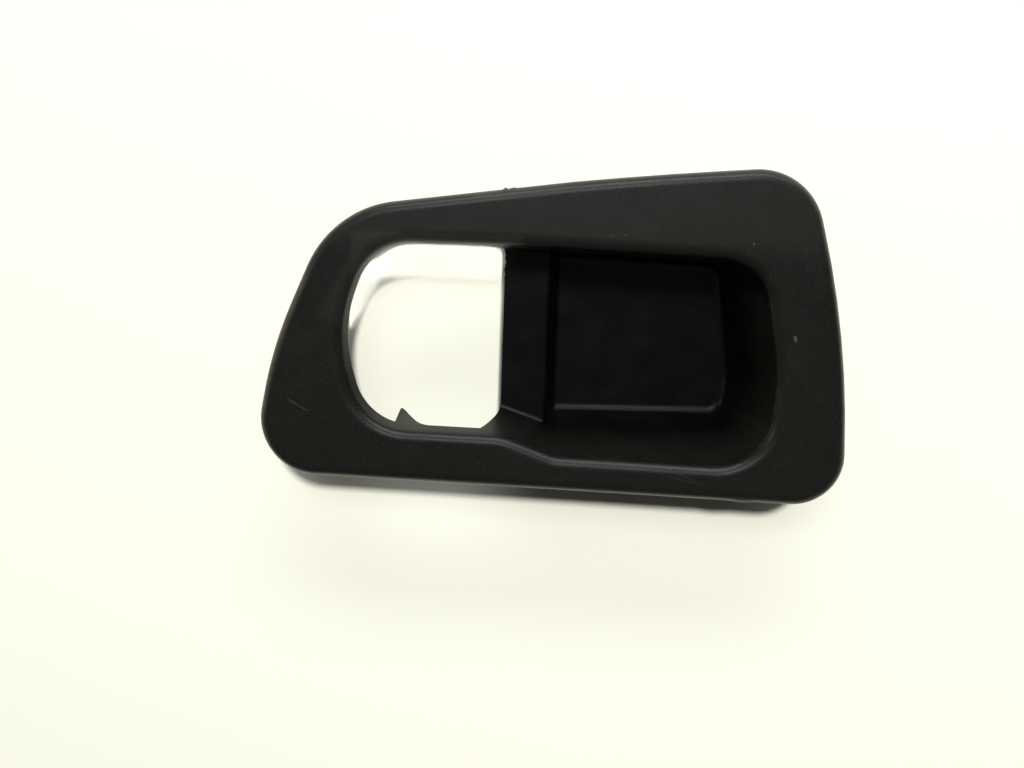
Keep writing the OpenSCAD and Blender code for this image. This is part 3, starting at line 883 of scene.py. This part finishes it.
def black_plastic():
    """Matte moulded plastic with grain, a dusting, marks and rubbed edges; its colour also holds
    painted shade in the pocket, painted sheen on the strip above the mouth and a painted highlight
    line above the ledge.
    """
    tree, material = shader("black_plastic")
    bsdf = tree.nodes["Principled BSDF"].inputs
    coord = node(tree, "TexCoord").outputs
    place = coord["Object"]
    grain, mottle, ragged = (noise(tree, place, *kind) for kind in (GRAIN, MOTTLE, RAGGED))
    split = node(tree, "SeparateXYZ", Vector=place).outputs
    heights = [height * MM for height in POCKET_SHADE_HEIGHTS]
    out_of_pocket_shade = ramp(tree, split["Z"], *heights)

    # Painted shade: the plastic is darker down in the pocket and turns to its own colour towards
    # the face
    colour = blend(tree, out_of_pocket_shade, PLASTIC_SHADED_IN_POCKET, PLASTIC)
    low, high, share = MOTTLE_DUST
    colour = blend(tree, ramp(tree, mottle, low, high, 0.0, share), colour, DUST_AND_SHEEN)
    # Dusting by the grain, and painted sheen lightening the strip above the mouth, both in one pale
    # colour
    for value, scale, (low, high, share) in ((grain, 1, GRAIN_DUST), (split["Y"], MM, STRIP_SHEEN)):
        dust_and_sheen = ramp(tree, value, low * scale, high * scale, 0.0, share)
        colour = blend(tree, maths(tree, "MULTIPLY", dust_and_sheen, out_of_pocket_shade), colour, DUST_AND_SHEEN)
    marks = maths(tree, "MAXIMUM", *[mark_mask(tree, place, mark, ragged) for mark in MARKS])
    # Scratches and specks, and the painted highlight line above the ledge, in one pale colour
    colour = blend(tree, maths(tree, "MINIMUM", marks, 1.0), colour, SCUFF_AND_HIGHLIGHT)
    rubbed = rubbed_mask(tree, place, coord["Normal"], ragged)
    plug(tree, bsdf["Base Color"], blend(tree, rubbed, colour, BEIGE))

    shine = ramp(tree, split["Z"], *heights, SHINE_IN_POCKET, SHINE)
    plug(tree, bsdf["Specular IOR Level"], shine)
    rough = ramp(tree, mottle, *DULLING, ROUGHNESS, ROUGHNESS + ROUGHNESS_SPREAD)
    rough = maths(tree, "ADD", rough, maths(tree, "MULTIPLY", rubbed, RUBBED_ROUGHNESS))
    plug(tree, bsdf["Roughness"], maths(tree, "MINIMUM", rough, 1.0))
    relief = maths(tree, "ADD", grain, maths(tree, "MULTIPLY", ragged, RAGGED_SHARE))
    bump = node(tree, "Bump", Strength=GRAIN_STRENGTH, Distance=GRAIN_DEPTH * MM, Height=relief)
    plug(tree, bsdf["Normal"], bump.outputs["Normal"])
    return material


cover.data.materials.append(black_plastic())

# Table: finish, and side in metres
TABLE = (0.95, 0.935, 0.8, 1)
TABLE_ROUGHNESS = 0.85
TABLE_SHINE = 0.1
TABLE_SIZE = 3.0


def table_top():
    tree, material = shader("table_top")
    bsdf = tree.nodes["Principled BSDF"].inputs
    bsdf["Base Color"].default_value = TABLE
    bsdf["Roughness"].default_value = TABLE_ROUGHNESS
    bsdf["Specular IOR Level"].default_value = TABLE_SHINE
    return material


def lay_table():
    half = TABLE_SIZE / 2
    corners = [(-half, -half, 0), (half, -half, 0), (half, half, 0), (-half, half, 0)]
    mesh = bpy.data.meshes.new("table")
    mesh.from_pydata(corners, [], [(0, 1, 2, 3)])
    mesh.materials.append(table_top())
    table = bpy.data.objects.new("table", mesh)
    bpy.context.scene.collection.objects.link(table)


# Light: strength of the room's white light, as the plastic's gloss shows it and otherwise
ROOM_IN_GLOSS = 0.11
ROOM_LIGHT = 0.032
# Lamps: name, azimuth from +X, tilt from straight up, width and height in metres, watts, colour
# and whether it glares. The key stands behind a polariser: it draws the shadow without glare.
LAMPS = [
    ("key", 68, 22.3, 0.145, 0.145, 22.9, (1, 1, 0.985), False),
    ("glint", 98, 28, 0.9, 0.4, 4.6, (0.9, 0.98, 1), True),
    ("window", 87, 62, 1.8, 0.4, 10.2, (0.9, 0.97, 1), True),
    ("left", 165, 62, 0.58, 0.58, 1.5, (1, 0.92, 0.78), True),
]
# The lamps' distance in metres from the point that they face
LAMP_AWAY = 1.6
AIM = Vector((0, 0, 0.02))
# Narrow beams through the window, which fill the upper rim's shadow on the table as in the
# photograph: x and y of the middle on the table, length, depth and turn
BEAMS = [(-32.0, 17.1, 40.0, 11.0, 0), (-54.3, 7.8, 19.0, 9.0, 60.7)]
BEAM_HEIGHT = 120.0
BEAM_SPREAD = 1.3
BEAM_POWER_PER_M2 = 2.95


def area_lamp(name, shape, width, height, watts):
    light = bpy.data.lights.new(name, "AREA")
    light.shape = shape
    light.size, light.size_y = width, height
    light.energy = watts
    lamp = bpy.data.objects.new(name, light)
    bpy.context.scene.collection.objects.link(lamp)
    return lamp


def hang_lamp(name, azimuth, tilt, width, height, watts, colour, glares):
    lamp = area_lamp(name, "ELLIPSE", width, height, watts)
    lamp.data.color = colour
    towards = Vector((cos(azimuth) * sin(tilt), sin(azimuth) * sin(tilt), cos(tilt)))
    turned = towards.to_track_quat("Z", "Y").to_matrix().to_4x4()
    lamp.matrix_world = Matrix.Translation(AIM + towards * LAMP_AWAY) @ turned
    lamp.visible_glossy = glares


def hang_beam(x, y, length, depth, angle):
    """Beam from the camera's side, so that no shadow of its own shows."""
    width, height = length * MM, depth * MM
    lamp = area_lamp("beam", "RECTANGLE", width, height, BEAM_POWER_PER_M2 * width * height)
    lamp.data.spread = math.radians(BEAM_SPREAD)
    target = Vector((x, y, 0)) * MM
    towards = Vector(camera_place()) - target
    place = target + towards * (BEAM_HEIGHT * MM / towards.z)
    towards.normalize()
    along = Vector((cos(angle), sin(angle), 0))
    along = (along - towards * along.dot(towards)).normalized()
    lamp.matrix_world = placed(along, towards.cross(along), towards, place)
    lamp.visible_glossy = lamp.visible_camera = False


def light_room():
    """World whose white background only the camera sees, the lamps and the beams."""
    world = bpy.data.worlds.new("room")
    bpy.context.scene.world = world
    world.use_nodes = True
    tree = world.node_tree
    background = tree.nodes["Background"].inputs
    background["Color"].default_value = (1, 1, 1, 1)
    ray = node(tree, "LightPath").outputs
    strength = ramp(tree, ray["Is Glossy Ray"], 0.0, 1.0, ROOM_LIGHT, ROOM_IN_GLOSS)
    plug(tree, background["Strength"], maths(tree, "MAXIMUM", strength, ray["Is Camera Ray"]))
    for lamp in LAMPS:
        hang_lamp(*lamp)
    for beam in BEAMS:
        hang_beam(*beam)


# Camera, solved from the outline: focal length and the point straight below the camera in
# pixels of the picture, its turn, and its place over the face in millimetres
PICTURE = (1024, 768)
SENSOR = 36.0
FOCAL = 850.0
BELOW = (580.0, 272.0)
ROLL = 2.5
FOOT = (6.2, 14.6)
OVER_FACE = 201.5
# Nearest and farthest distance in metres that the camera sees
CLIPPED = (0.01, 20)


def placed(along, across, up, place):
    """World matrix from the three directions of an object's own axes and its place."""
    rows = [[along[i], across[i], up[i], place[i]] for i in range(3)]
    return Matrix(rows + [[0, 0, 0, 1]])


def camera_place():
    return np.array([FOOT[0] - MIDDLE[0], FOOT[1] - MIDDLE[1], OVER_FACE + HEIGHT]) * MM


def place_camera():
    down = np.array([(BELOW[0] - PICTURE[0] / 2) / FOCAL, (PICTURE[1] / 2 - BELOW[1]) / FOCAL, 1.0])
    down /= np.linalg.norm(down)
    slant = (sin(ROLL) * down[1] - cos(ROLL) * down[0]) / down[2]
    along_x = np.array([cos(ROLL), -sin(ROLL), slant])
    along_x /= np.linalg.norm(along_x)
    along_y = np.cross(along_x, -down)
    right, up, ahead = np.stack([along_x, along_y, -down], axis=1)
    data = bpy.data.cameras.new("camera")
    data.sensor_fit = "HORIZONTAL"
    data.sensor_width = SENSOR
    data.lens = FOCAL / PICTURE[0] * SENSOR
    data.clip_start, data.clip_end = CLIPPED
    camera = bpy.data.objects.new("camera", data)
    bpy.context.scene.collection.objects.link(camera)
    camera.matrix_world = placed(right, up, -ahead, camera_place())
    bpy.context.scene.camera = camera


lay_table()
light_room()
place_camera()
bpy.context.scene.view_settings.view_transform = "Standard"
